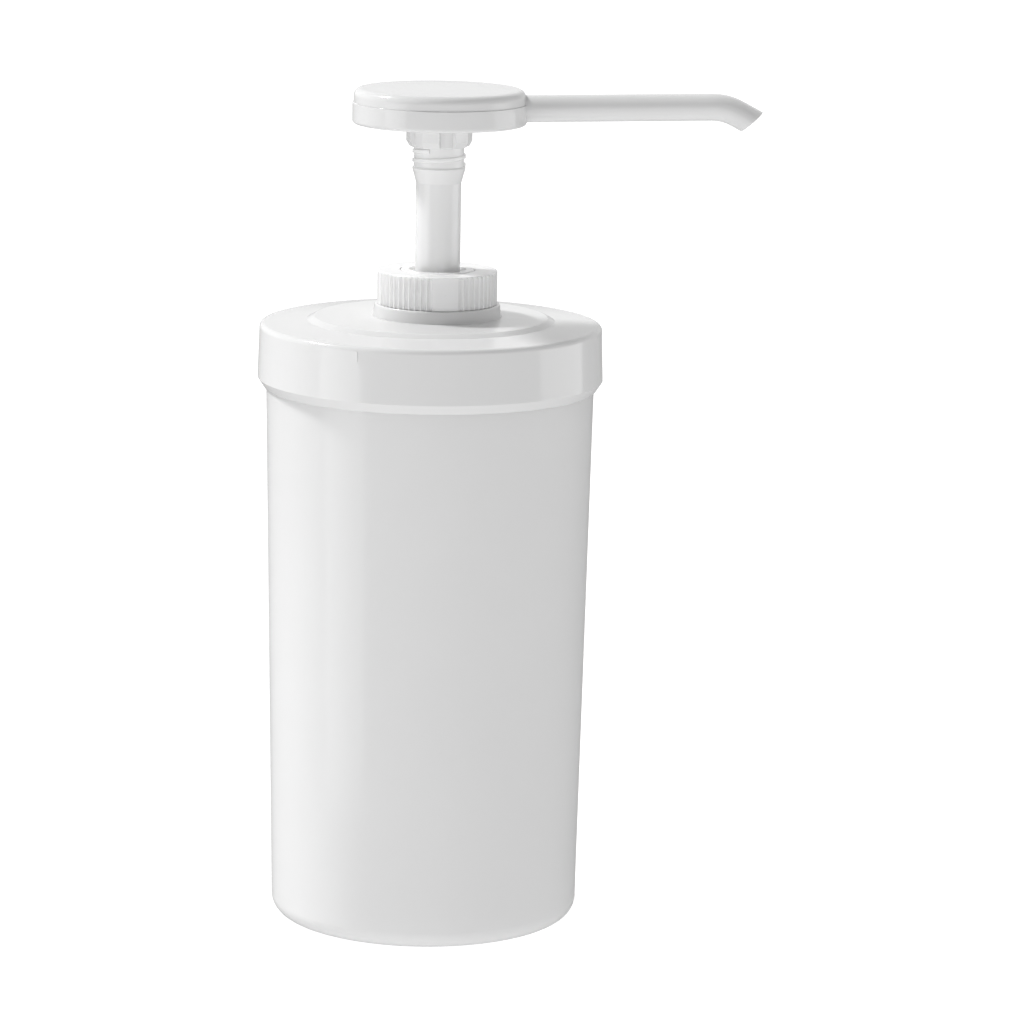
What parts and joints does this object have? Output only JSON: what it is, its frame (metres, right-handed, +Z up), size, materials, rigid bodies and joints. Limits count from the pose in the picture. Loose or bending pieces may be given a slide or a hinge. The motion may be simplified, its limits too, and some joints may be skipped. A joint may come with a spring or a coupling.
{
  "type": "condiment pump dispenser",
  "caption": "Cylindrical condiment jar with a screw lid and a press-down piston pump whose round head carries a long straight spout with a bent, bevelled tip.",
  "frame": {"origin": "centre of the jar's base, on the surface it stands on", "axes": "+Z up along the jar; +X the way the spout points at rest; +Y completes the right-hand frame, to the spout's left"},
  "size_m": [0.173, 0.1198, 0.2921],
  "materials": {
    "jar_plastic": "smooth translucent white, semi-gloss",
    "lid_plastic": "smooth white, semi-gloss",
    "pump_plastic": "smooth white, semi-gloss",
    "stem_plastic": "smooth white, gloss",
    "head_plastic": "smooth white, gloss",
    "spout_plastic": "smooth white, gloss",
    "natural_plastic": "milky natural, satin",
    "soft_seal": "soft white elastomer, matte",
    "spring_steel": "drawn stainless wire",
    "ball_steel": "polished stainless ball"
  },
  "bodies": {
    "jar_body": {"jar": "jar_plastic"},
    "lid_lift": {"lid_gasket": "soft_seal"},
    "lid_body": {"lid": "lid_plastic"},
    "pump_body": {"pump_gasket": "soft_seal", "pump_cylinder": "natural_plastic", "guide_bush": "pump_plastic", "stem_wiper": "soft_seal", "inlet_valve_body": "natural_plastic", "valve_o_ring": "soft_seal", "inlet_valve_cage": "natural_plastic", "dip_tube": "natural_plastic"},
    "collar_body": {"collar": "pump_plastic"},
    "piston_body": {"piston_seal": "soft_seal", "return_spring": "spring_steel"},
    "head_body": {"pump_stem": "stem_plastic", "piston_seat": "natural_plastic", "stem_o_ring": "soft_seal", "spout_elbow": "pump_plastic", "spout_tube": "spout_plastic", "head_base": "head_plastic", "head_cap": "head_plastic"},
    "inlet_ball_body": {"inlet_ball": "ball_steel"},
    "outlet_ball_body": {"outlet_ball": "ball_steel"}
  },
  "joints": [
    {"name": "lid_rise", "type": "slide", "parent": "jar_body", "child": "lid_lift", "axis": [0, 0, 1], "range_m": [0, 0.0075]},
    {"name": "lid_turn", "type": "hinge", "parent": "lid_lift", "child": "lid_body", "pos_m": [0, 0, 0.2065], "axis": [0, 0, 1], "range_deg": [0, 450.5]},
    {"name": "collar_rise", "type": "slide", "parent": "lid_body", "child": "pump_body", "axis": [0, 0, 1], "range_m": [0, 0.0042]},
    {"name": "collar_turn", "type": "hinge", "parent": "pump_body", "child": "collar_body", "pos_m": [0.002, 0, 0.2225], "axis": [0, 0, 1], "range_deg": [0, 360.5]},
    {"name": "pump_press", "type": "slide", "parent": "pump_body", "child": "piston_body", "axis": [0, 0, -1], "range_m": [0, 0.034], "stiffness_N_per_m": 350, "springref_m": -0.02, "deforming": ["return_spring"]},
    {"name": "spout_swivel", "type": "hinge", "parent": "piston_body", "child": "head_body", "pos_m": [0.002, 0, 0.2287], "axis": [0, 0, 1], "continuous": true},
    {"name": "inlet_ball_lift", "type": "slide", "parent": "pump_body", "child": "inlet_ball_body", "axis": [0, 0, 1], "range_m": [0, 0.0025]},
    {"name": "outlet_ball_lift", "type": "slide", "parent": "head_body", "child": "outlet_ball_body", "axis": [0, 0, 1], "range_m": [0, 0.0025]}
  ],
  "couplings": [
    {"joint": "lid_turn", "follows": "lid_rise", "rad_per_m": 1047.2},
    {"joint": "collar_turn", "follows": "collar_rise", "rad_per_m": 1496}
  ]
}
